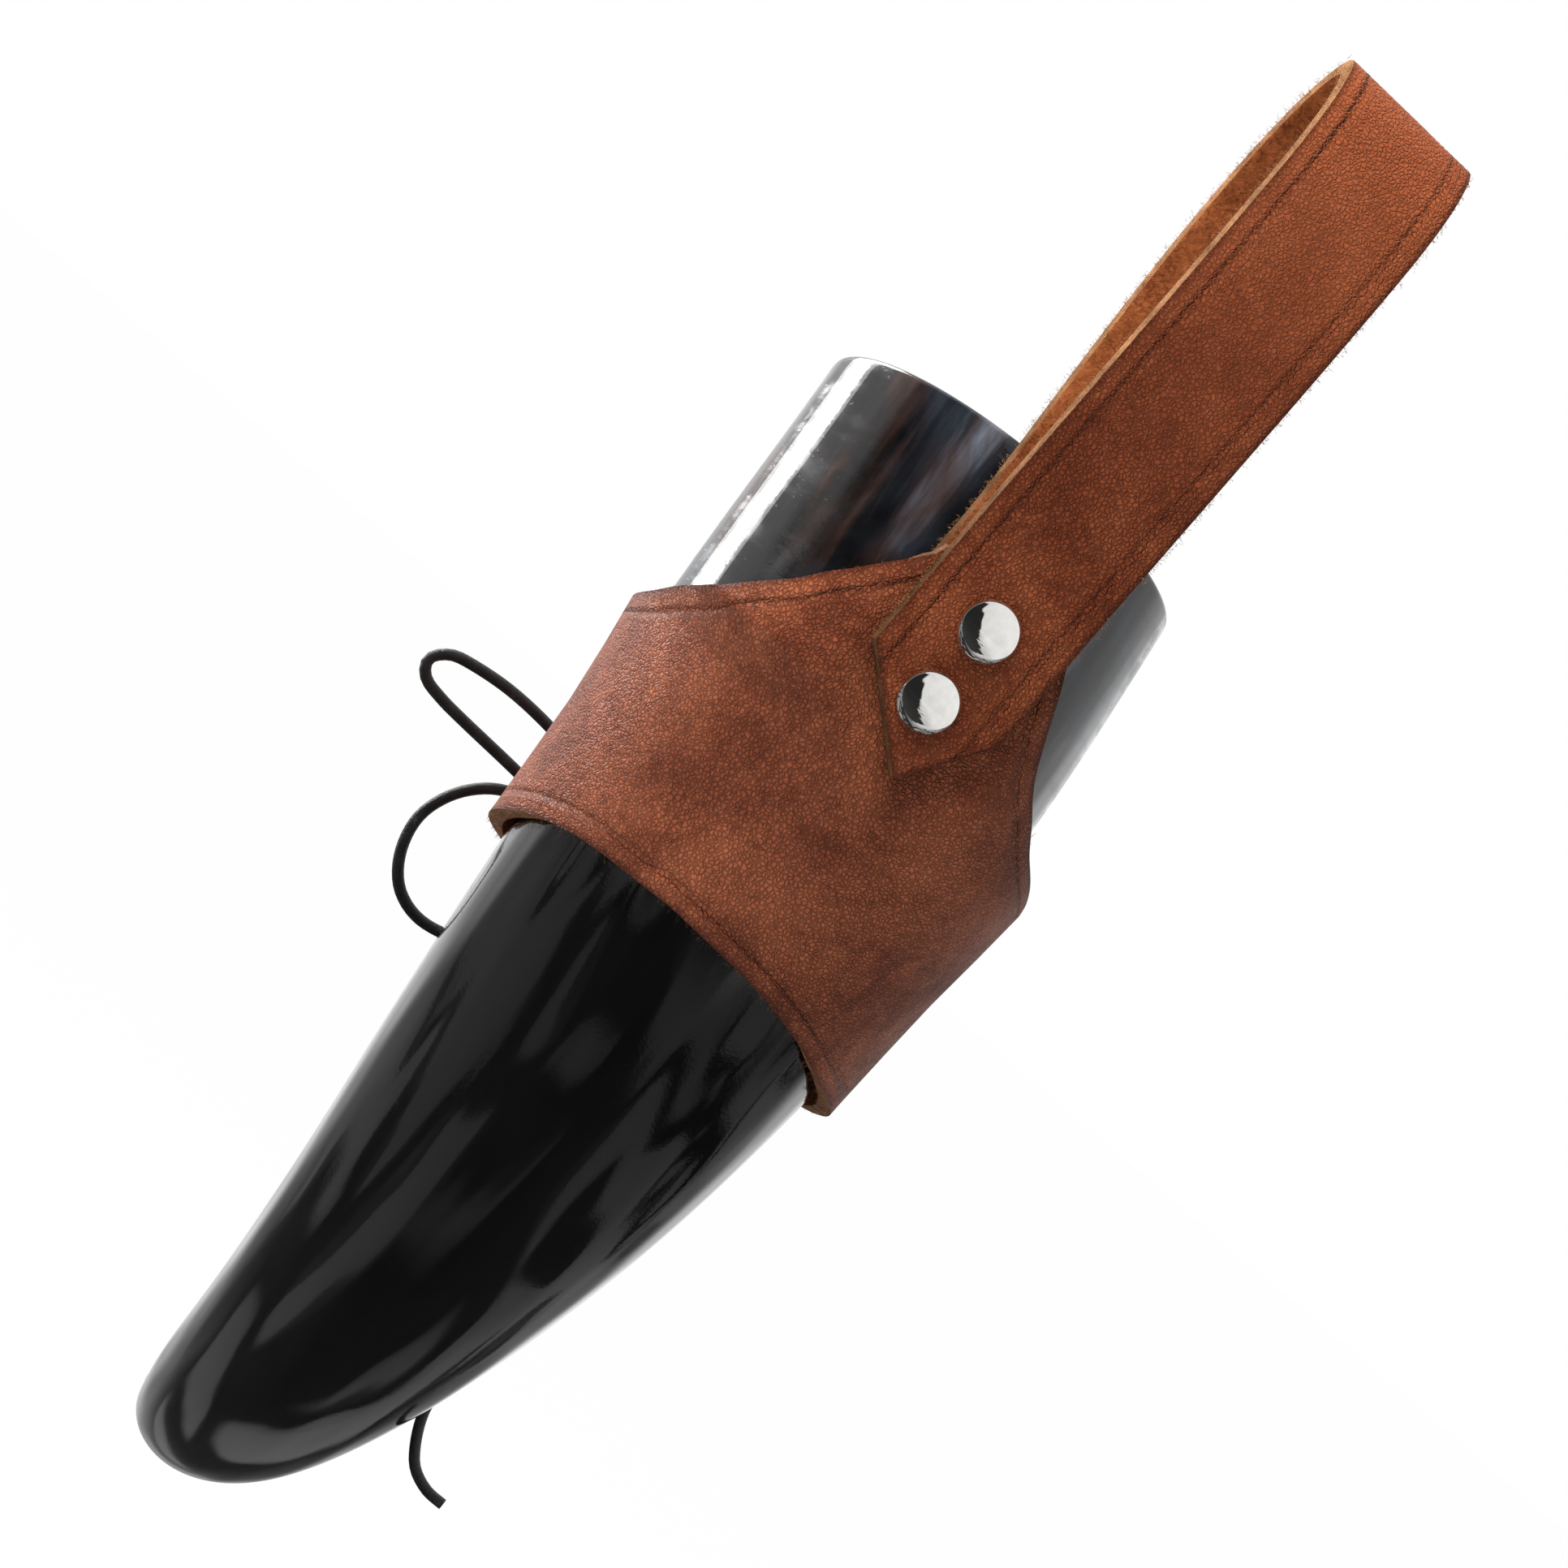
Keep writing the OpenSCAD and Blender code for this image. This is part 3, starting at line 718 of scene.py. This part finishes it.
# the strap's middle line from its point, up over the belt and down behind the sleeve: depth and height
NEAR_Y, FAR_Y = FLAT_Y - 1.5 * HIDE_T, FLAT_Y + HIDE_T / 2
LOW_Z = -STRAP_DROP
STRAP_SIDE = [
    (NEAR_Y, LOW_Z - 11.6), (NEAR_Y, LOW_Z + 0.4), (NEAR_Y, LOW_Z + 11), (NEAR_Y, LOW_Z + 19.5),
    (NEAR_Y, LOW_Z + 26), (NEAR_Y - 0.4, -67.84), (NEAR_Y - 1.0, -49.82), (NEAR_Y - 1.4, -30.74), (NEAR_Y - 0.9, -13.78),
    (NEAR_Y + 1.9, -3.71), (NEAR_Y + 7.2, HIDE_T / 2), (NEAR_Y + 13.2, -3.18), (NEAR_Y + 16.3, -12.72),
    (NEAR_Y + 17.0, -23.85), (NEAR_Y + 15.6, -37.1), (NEAR_Y + 12.5, -51.94), (NEAR_Y + 9.1, -64.66),
    (FAR_Y + 1.1, LOW_Z + 32), (FAR_Y, LOW_Z + 25), (FAR_Y, LOW_Z + 19.5), (FAR_Y, LOW_Z + 8), (FAR_Y, LOW_Z - 5)]
HALF_W = 12.0
POINT_L, POINT_OFF = 13.4, 3.2  # the point's length, and how far it sits to one side
END_R = 3.0  # rounding of the hidden end's corners
POINT_SLOPE = 0.68  # distance square to the point's slanted cut, for each millimetre along the strap


def cut_strap():
    line = even(rounded(STRAP_SIDE, 12), 0.4)
    far = run_of(line)
    heading = np.gradient(line, axis=0)
    heading /= np.linalg.norm(heading, axis=1)[:, None]
    columns, rows = 30, 320
    piece, part = flat_blank("strap_leather", columns, rows)
    w = (part[:, 0] - 0.5) * 2 * HALF_W

    def start(x):
        """Where the pointed end begins."""
        return POINT_L * np.abs(x - POINT_OFF) / np.where(x > POINT_OFF, HALF_W - POINT_OFF, HALF_W + POINT_OFF)

    def stop(x):
        """Where the rounded end stops."""
        over = np.clip(np.abs(x) - (HALF_W - END_R), 0, END_R)
        return far[-1] - END_R + np.sqrt(END_R ** 2 - over ** 2)

    s = start(w) + (stop(w) - start(w)) * part[:, 1]
    mid = np.stack([np.interp(s, far, line[:, k]) for k in (0, 1)], axis=1)
    h = np.stack([np.interp(s, far, heading[:, k]) for k in (0, 1)], axis=1)
    out = mid + HIDE_T / 2 * np.stack([-h[:, 1], h[:, 0]], axis=1)
    gap = HALF_W - np.abs(w)
    shape_blank(piece, np.stack([w, out[:, 0], out[:, 1]], axis=1),
                crease_mm=gap, edge_mm=np.minimum(gap, (s - start(w)) * POINT_SLOPE))
    if piece.data.polygons[0].normal.y > 0:
        turn_over(piece)
    thicken(piece, STRAP_GRAIN, STRAP_CUT)
    punch(piece, rivet_punches())
    smooth_by_angle(piece, 40)
    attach(piece, "holster")
    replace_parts(piece, "belt_strap")
    rims, ways = [], []
    pick = random.Random(11)
    for i in np.flatnonzero(far >= POINT_L):
        across = np.array([-heading[i, 1], heading[i, 0]])
        for way in (-1, 1):
            c = line[i] + across * pick.uniform(-1.25, 1.25)
            rims.append(np.array([way * HALF_W, c[0], c[1]]) * MM)
            ways.append((way, 0, 0))
    fray("strap_fray", rims, ways, 7, 5200, 0.8, CUT)


cut_sleeve()
cut_strap()


# ---- rivets ------------------------------------------------------------------------------
def polished_nickel():
    """Bright plated metal, a little dented and touched."""
    m, t, skin = new_material("bright_rivet")
    where = object_place(t)
    wear = noise(t, where, 900.0, 4.0)
    t.links.new(remap(t, wear, 0.4, 0.75, 0.02, 0.07),
                skin.inputs["Roughness"])
    t.links.new(ramp(t, wear, [(0.3, (0.80, 0.79, 0.76)), (0.7, (0.90, 0.89, 0.86))]), skin.inputs["Base Color"])
    dent = noise(t, where, 260.0, 2.0)
    t.links.new(bump(t, 0.15, 0.0001, dent), skin.inputs["Normal"])
    skin.inputs["Metallic"].default_value = 1.0
    return m


NICKEL = polished_nickel()
DOME_R, DOME_FROM, CAP_H = 4.55, 0.58, 1.9


def spun_cap(name, z):
    """Domed rivet cap with a rolled edge, spun from its profile, face towards -Y."""
    face = (FLAT_Y - 2 * HIDE_T) * MM
    centre = Vector((RIVET_X * MM, face, (z - STRAP_DROP) * MM))
    profile = [(1.5, 0.0), (4.35, 0.0), (4.62, 0.06), (4.75, 0.22), (4.72, 0.40), (DOME_R, DOME_FROM)]
    profile += [(DOME_R * math.cos(q), DOME_FROM + (CAP_H - DOME_FROM) * math.sin(q))
                for q in (math.radians(d) for d in (12, 24, 36, 48, 60, 70, 80))]
    profile.append((0.0, CAP_H))
    data = bpy.data.meshes.new(name)
    verts = [(centre.x + x * MM, face - h * MM, centre.z) for x, h in profile]
    data.from_pydata(verts, [(i, i + 1) for i in range(len(verts) - 1)], [])
    piece = bpy.data.objects.new(name, data)
    scene.collection.objects.link(piece)
    take(piece)
    bpy.ops.object.mode_set(mode="EDIT")
    bpy.ops.mesh.select_all(action="SELECT")
    bpy.ops.mesh.spin(steps=64, angle=math.tau, center=centre, axis=(0, 1, 0))
    bpy.ops.mesh.select_all(action="SELECT")
    bpy.ops.mesh.remove_doubles(threshold=0.000004)
    bpy.ops.mesh.select_all(action="DESELECT")
    bpy.ops.mesh.select_non_manifold()
    bpy.ops.mesh.edge_face_add()
    bpy.ops.mesh.select_all(action="SELECT")
    bpy.ops.mesh.normals_make_consistent(inside=False)
    bpy.ops.object.mode_set(mode="OBJECT")
    data.materials.append(NICKEL)
    smooth_by_angle(piece, 50)
    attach(piece, "holster")
    return piece


for level, z in RIVETS.items():
    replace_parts(spun_cap("rivet_dome_" + level, z), "rivet_cap_" + level)
    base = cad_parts["rivet_base_" + level]
    base.data.materials.clear()
    base.data.materials.append(NICKEL)


# ---- horn --------------------------------------------------------------------------------
# s runs down along the bend, from the mouth at 0.
HORN_R, BEND_R, HORN_L = 32.3, 200.0, 326.0
LIP_R = HORN_R - 0.9
TAPER = [1, 1.025, 0.987, 0.891, 0.753, 0.622, 0.493, 0.313, 0.150]  # shares of HORN_R
TAPER_STEP = 40
TIP_ROUND = 5
CAVITY_L, CAVITY_ROUND = 250.0, 42
WALL, WALL_GROWTH = 2.4, 0.014
TILT = math.radians(-9.0)  # the mouth's turn on the bend
LEAN, TWIST = math.radians(5.4), math.radians(3)  # how the horn sits in the sleeve
MOUTH_AT = (-0.7, 36.9, 33.0)


def closing(left):
    """Share of the radius that is left where an end closes to a round, by how much of the round is left."""
    return 1 if left >= 1 else math.sqrt(max(0.0, 1 - (1 - left) ** 2))


def horn_radius(s):
    x = s / TAPER_STEP
    i = min(len(TAPER) - 2, int(x))
    near = (TAPER[max(0, min(len(TAPER) - 1, k))] for k in (i - 1, i, i + 1, i + 2))
    return HORN_R * between(*near, x - i) * closing((HORN_L - s) / TIP_ROUND)


def cavity_radius(s):
    return (horn_radius(s) - WALL - WALL_GROWTH * s) * closing((CAVITY_L - s) / CAVITY_ROUND)


def bend_centre(s):
    a = TILT + s / BEND_R
    return Vector((0, BEND_R * (math.cos(TILT) - math.cos(a)), -BEND_R * (math.sin(a) - math.sin(TILT)))) * MM


def pull(rings, end):
    """The chosen ring is pulled down the bend, shrunk and turned at every step, and closed to a point."""
    for (s0, r0), (s1, r1) in zip(rings, rings[1:]):
        hub = bend_centre(s1)
        bpy.ops.mesh.extrude_region_move(TRANSFORM_OT_translate={"value": hub - bend_centre(s0)})
        bpy.ops.transform.resize(value=(r1 / r0,) * 3, center_override=hub)
        bpy.ops.transform.rotate(value=-(s1 - s0) / BEND_R, orient_axis="X", orient_type="GLOBAL",
                                 center_override=hub)
    bpy.ops.mesh.extrude_region_move(TRANSFORM_OT_translate={"value": bend_centre(end) - bend_centre(rings[-1][0])})
    bpy.ops.mesh.merge(type="CENTER")


def choose_lip(piece):
    """Only the ring at the mouth is chosen."""
    bpy.ops.object.mode_set(mode="OBJECT")
    lip = {v.index for v in piece.data.vertices
           if abs(v.co.length - LIP_R * MM) < 1e-6
           and abs(v.co.z * math.cos(TILT) - v.co.y * math.sin(TILT)) < 1e-6}
    for v in piece.data.vertices:
        v.select = v.index in lip
    for e in piece.data.edges:
        e.select = e.vertices[0] in lip and e.vertices[1] in lip
    for f in piece.data.polygons:
        f.select = False
    bpy.ops.object.mode_set(mode="EDIT")


def grow_horn():
    """Rings pulled out along the bend: outside to the tip, then down the bore."""
    nothing_selected()
    bpy.ops.mesh.primitive_circle_add(vertices=48, radius=LIP_R * MM, fill_type="NOTHING",
                                      location=(0, 0, 0), rotation=(TILT, 0, 0))
    piece = settle(bpy.context.object)
    piece.name = piece.data.name = "polished_horn"
    bpy.ops.object.mode_set(mode="EDIT")
    bpy.ops.mesh.select_all(action="SELECT")
    lip = [(0.0, LIP_R), (0.12, HORN_R - 0.45), (0.5, horn_radius(0.5) - 0.08)]
    pull(lip + [(s, horn_radius(s)) for s in (1.2, 4, 10, *range(18, 314, 8), 317, 320.5, 323, 324.7, 325.6)],
         HORN_L)
    choose_lip(piece)
    lip = [(0.0, LIP_R), (0.0, cavity_radius(0) + 0.75), (0.15, cavity_radius(0) + 0.3),
           (0.6, cavity_radius(0.6) + 0.05)]
    pull(lip + [(s, cavity_radius(s)) for s in (1.5, 6, *range(14, 206, 12), 213, 222, 231, 238, 243.5, 247, 249)],
         CAVITY_L)
    bpy.ops.mesh.select_all(action="SELECT")
    bpy.ops.mesh.remove_doubles(threshold=0.000002)
    bpy.ops.mesh.normals_make_consistent(inside=False)
    bpy.ops.object.mode_set(mode="OBJECT")
    soft = piece.modifiers.new("smooth", "SUBSURF")
    soft.levels = soft.render_levels = 2
    apply_all(piece)
    bpy.ops.object.shade_smooth()
    seat_horn(piece)
    piece.data.materials.append(polished_horn())
    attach(piece, "horn")
    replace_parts(piece, "horn")


def seat_horn(piece):
    """Marks the streaks' straightened places, slants the mouth's cut, and sets the horn in its sleeve."""
    co = np.empty(len(piece.data.vertices) * 3)
    piece.data.vertices.foreach_get("co", co)
    co = co.reshape(-1, 3)
    hub = np.array([BEND_R * math.cos(TILT), BEND_R * math.sin(TILT)]) * MM
    arm = co[:, 1:] - hub
    along = (np.arctan2(-arm[:, 1], -arm[:, 0]) - TILT) * BEND_R * MM
    straight = np.stack([co[:, 0], BEND_R * MM - np.linalg.norm(arm, axis=1), along], axis=1)
    layer = piece.data.attributes.new("straight", "FLOAT_VECTOR", "POINT")
    layer.data.foreach_set("vector", straight.astype(np.float32).ravel())
    slant = math.tan(LEAN) * np.clip(1 - along / 0.060, 0, 1)
    x, y, z = co[:, 0], co[:, 1], co[:, 2] - co[:, 0] * slant
    x, y = x * math.cos(TWIST) + y * math.sin(TWIST), -x * math.sin(TWIST) + y * math.cos(TWIST)
    x, z = x * math.cos(LEAN) - z * math.sin(LEAN), x * math.sin(LEAN) + z * math.cos(LEAN)
    piece.data.vertices.foreach_set("co", (np.stack([x, y, z], axis=1) + hung([MOUTH_AT])).ravel())
    piece.data.update()


def polished_horn():
    """Dark polished horn: black body, grey and brown clouded streaks by the mouth, fine scratches."""
    m, t, skin = new_material("polished_black_horn")
    way = add(t, "ShaderNodeAttribute", {}, attribute_name="straight").outputs["Vector"]
    along = add(t, "ShaderNodeSeparateXYZ", {0: way}).outputs[2]

    def drawn(turn, stretch):
        """The straightened place, turned and stretched, for marks that run one way."""
        return add(t, "ShaderNodeMapping", {"Vector": way, "Rotation": turn, "Scale": stretch}).outputs[0]

    lengthways = drawn((0.0, 0.0, 0.0), (1.0, 1.0, 0.16))
    streak = noise(t, lengthways, 95.0, 6.0, 0.6, 0.5)
    wave = noise(t, lengthways, 55.0, 2.0)
    scratch = noise(t, drawn((0.5, 0.3, 0.4), (1.0, 0.05, 1.0)), 2200.0, 2.0)
    ripple = noise(t, drawn((0.0, 0.5, 0.3), (0.22, 0.22, 1.0)), 320.0, 3.0, distortion=0.4)
    cloud = noise(t, way, 34.0, 4.0, 0.55, 1.0)
    haze = noise(t, way, 60.0, 3.0)
    near_mouth = remap(t, along, 0.015, 0.082, 1.0, 0.0, "SMOOTHSTEP")

    dark = ramp(t, streak, [(0.3, (0.0012, 0.0012, 0.0014)), (0.7, (0.0042, 0.0040, 0.0042))])
    grey = ramp(t, streak, [(0.36, (0.005, 0.0055, 0.007)), (0.52, (0.026, 0.031, 0.040)),
                            (0.68, (0.19, 0.215, 0.26))])
    brown = ramp(t, cloud, [(0.35, (0.010, 0.007, 0.006)), (0.60, (0.14, 0.055, 0.028))])
    pale = math_node(t, "MULTIPLY", near_mouth, ramp(t, cloud, [(0.42, 0.05), (0.64, 1.0)]))
    colour = blend_colour(t, "MIX", pale, dark, grey)
    tint = math_node(t, "MULTIPLY", near_mouth, ramp(t, streak, [(0.44, 0.0), (0.58, 0.8)]))
    share = math_node(t, "MULTIPLY", tint, ramp(t, cloud, [(0.42, 0.7), (0.55, 0.0)]))
    t.links.new(blend_colour(t, "MIX", share, colour, brown), skin.inputs["Base Color"])

    scratched = math_node(t, "MULTIPLY_ADD", ramp(t, scratch, [(0.66, 0.0), (0.70, 1.0)]), 0.16,
                          remap(t, haze, 0.35, 0.65, 0.03, 0.085))
    worn = math_node(t, "MULTIPLY", near_mouth, ramp(t, ripple, [(0.44, 0.0), (0.64, 0.16)]))
    t.links.new(math_node(t, "ADD", scratched, worn), skin.inputs["Roughness"])

    broad = bump(t, 0.6, 0.004, wave)
    brushed = bump(t, math_node(t, "MULTIPLY", near_mouth, 0.35), 0.00025, ripple, Normal=broad)
    t.links.new(bump(t, 0.12, 0.00008, scratch, Normal=brushed), skin.inputs["Normal"])
    skin.inputs["IOR"].default_value = 1.48
    skin.inputs["Coat Weight"].default_value = 0.2
    skin.inputs["Coat Roughness"].default_value = 0.03
    return m


grow_horn()


# ---- room, floor and lamps ----------------------------------------------------------------
# To the eye the room is white all round. Gloss mirrors a room with a dark side and one window, which stay
# where they are, from whichever side the object is seen.
WINDOW_WAY = Vector((0.73782, -0.18396, 0.64945))
OBJECT_MIDDLE = Vector((0.01, 0.05, -0.13))
FLOOR_Z = -0.42
SEEN_FLOOR = 0.985  # the rest is the floor's own surface, which takes the shadow


def pale_floor():
    nothing_selected()
    bpy.ops.mesh.primitive_plane_add(size=30, location=(0, 0, FLOOR_Z))
    floor = bpy.context.object
    floor.name = "floor"
    m, t, skin = new_material("pale_floor")
    skin.inputs["Base Color"].default_value = (0.95, 0.95, 0.95, 1)
    skin.inputs["Roughness"].default_value = 0.8
    # Painted reflections: to glossy rays the floor glows, in patches of light and dark under the object, darker to
    # one side in front and bright behind; to the eye it glows white.
    place = object_place(t)
    spot = add(t, "ShaderNodeSeparateXYZ", {0: place}).outputs
    patch = noise(t, place, 2.3, 1.0, distortion=1.3)
    under = ramp(t, patch, [(0.0, 0.45), (0.425, 0.30), (0.44, 0.012), (0.52, 0.008), (0.535, 0.24), (1.0, 0.40)])
    clutter = noise(t, place, 2.2, 1.0, distortion=1.0)
    level = math_node(t, "MULTIPLY_ADD", math_node(t, "SUBTRACT", clutter, 0.5), 0.8, spot[0])
    front = ramp(t, level, [(0.0, 0.02), (0.24, 0.02), (0.28, 0.60), (0.60, 0.80), (1.0, 0.9)])
    near = blend_colour(t, "MIX", remap(t, spot[1], -0.45, -0.30, 1.0, 0.0, "SMOOTHSTEP"), under, front)
    mirrored = math_node(t, "MAXIMUM", near, remap(t, spot[1], 0.25, 0.9, 0.0, 1.0, "SMOOTHSTEP"))

    ray = add(t, "ShaderNodeLightPath").outputs
    strength = math_node(t, "MAXIMUM", mirrored, ray["Is Camera Ray"])
    glow = add(t, "ShaderNodeEmission", {"Color": (1, 1, 1, 1), "Strength": strength})
    reflected = math_node(t, "MAXIMUM", ray["Is Glossy Ray"], ray["Is Transmission Ray"])
    seen = math_node(t, "MULTIPLY", math_node(t, "MAXIMUM", reflected, ray["Is Camera Ray"]), SEEN_FLOOR)
    both = add(t, "ShaderNodeMixShader", {0: seen, 1: skin.outputs[0], 2: glow.outputs[0]})
    t.links.new(both.outputs[0], t.nodes["Material Output"].inputs["Surface"])
    floor.data.materials.append(m)


def studio_world():
    """White for the eye, soft light for matt surfaces, and for gloss a window to one side of a dark room."""
    world = bpy.data.worlds.new("studio")
    scene.world = world
    world.use_nodes = True
    t = world.node_tree
    t.nodes.clear()
    way = add(t, "ShaderNodeTexCoord").outputs["Generated"]
    depth, side = (add(t, "ShaderNodeVectorMath", {0: way, 1: tuple(axis)},
                       operation="DOT_PRODUCT").outputs["Value"] for axis in (AWAY, WINDOW_WAY))
    clutter = noise(t, way, 1.6, 1.0, distortion=0.6)
    level = math_node(t, "MULTIPLY_ADD", math_node(t, "SUBTRACT", clutter, 0.5), 0.6, side)
    window = ramp(t, math_node(t, "MULTIPLY_ADD", level, 0.5, 0.5),
                  [(0.0, 0.02), (0.56, 0.02), (0.59, 0.80), (1.0, 0.95)])
    mirrored = math_node(t, "MAXIMUM", window, remap(t, depth, -0.35, 0.15, 0.0, 1.0, "SMOOTHSTEP"))
    soft, shine, white = (add(t, "ShaderNodeBackground", {"Color": (1, 1, 1, 1), "Strength": strength}).outputs[0]
                          for strength in (0.25, mirrored, 1.0))
    ray = add(t, "ShaderNodeLightPath").outputs
    reflected = math_node(t, "MAXIMUM", ray["Is Glossy Ray"], ray["Is Transmission Ray"])
    unseen = add(t, "ShaderNodeMixShader", {0: reflected, 1: soft, 2: shine}).outputs[0]
    whole = add(t, "ShaderNodeMixShader", {0: ray["Is Camera Ray"], 1: unseen, 2: white}).outputs[0]
    t.links.new(whole, add(t, "ShaderNodeOutputWorld").inputs["Surface"])


def soft_lamp(name, way, far, width, height, power, mirrored=True):
    """A softbox that looks at the middle of the object from the given side."""
    data = bpy.data.lights.new(name, "AREA")
    data.shape = "RECTANGLE"
    data.size, data.size_y = width, height
    data.energy = power
    lamp = bpy.data.objects.new(name, data)
    scene.collection.objects.link(lamp)
    lamp.location = OBJECT_MIDDLE + way.normalized() * far
    lamp.rotation_euler = (-way).to_track_quat("-Z", "Y").to_euler()
    lamp.visible_glossy = mirrored


pale_floor()
studio_world()
soft_lamp("side softbox", LEFT * 0.84 + AWAY * 0.54 + Vector((0, 0, 0.30)), 0.9, 0.42, 0.7, 14.0)
soft_lamp("front softbox", Vector((0, 0, 0.8)) + LEFT * 0.55 - AWAY * 0.42, 1.0, 0.6, 0.6, 19.0, mirrored=False)
scene.view_settings.view_transform = "Standard"

bpy.context.view_layer.update()
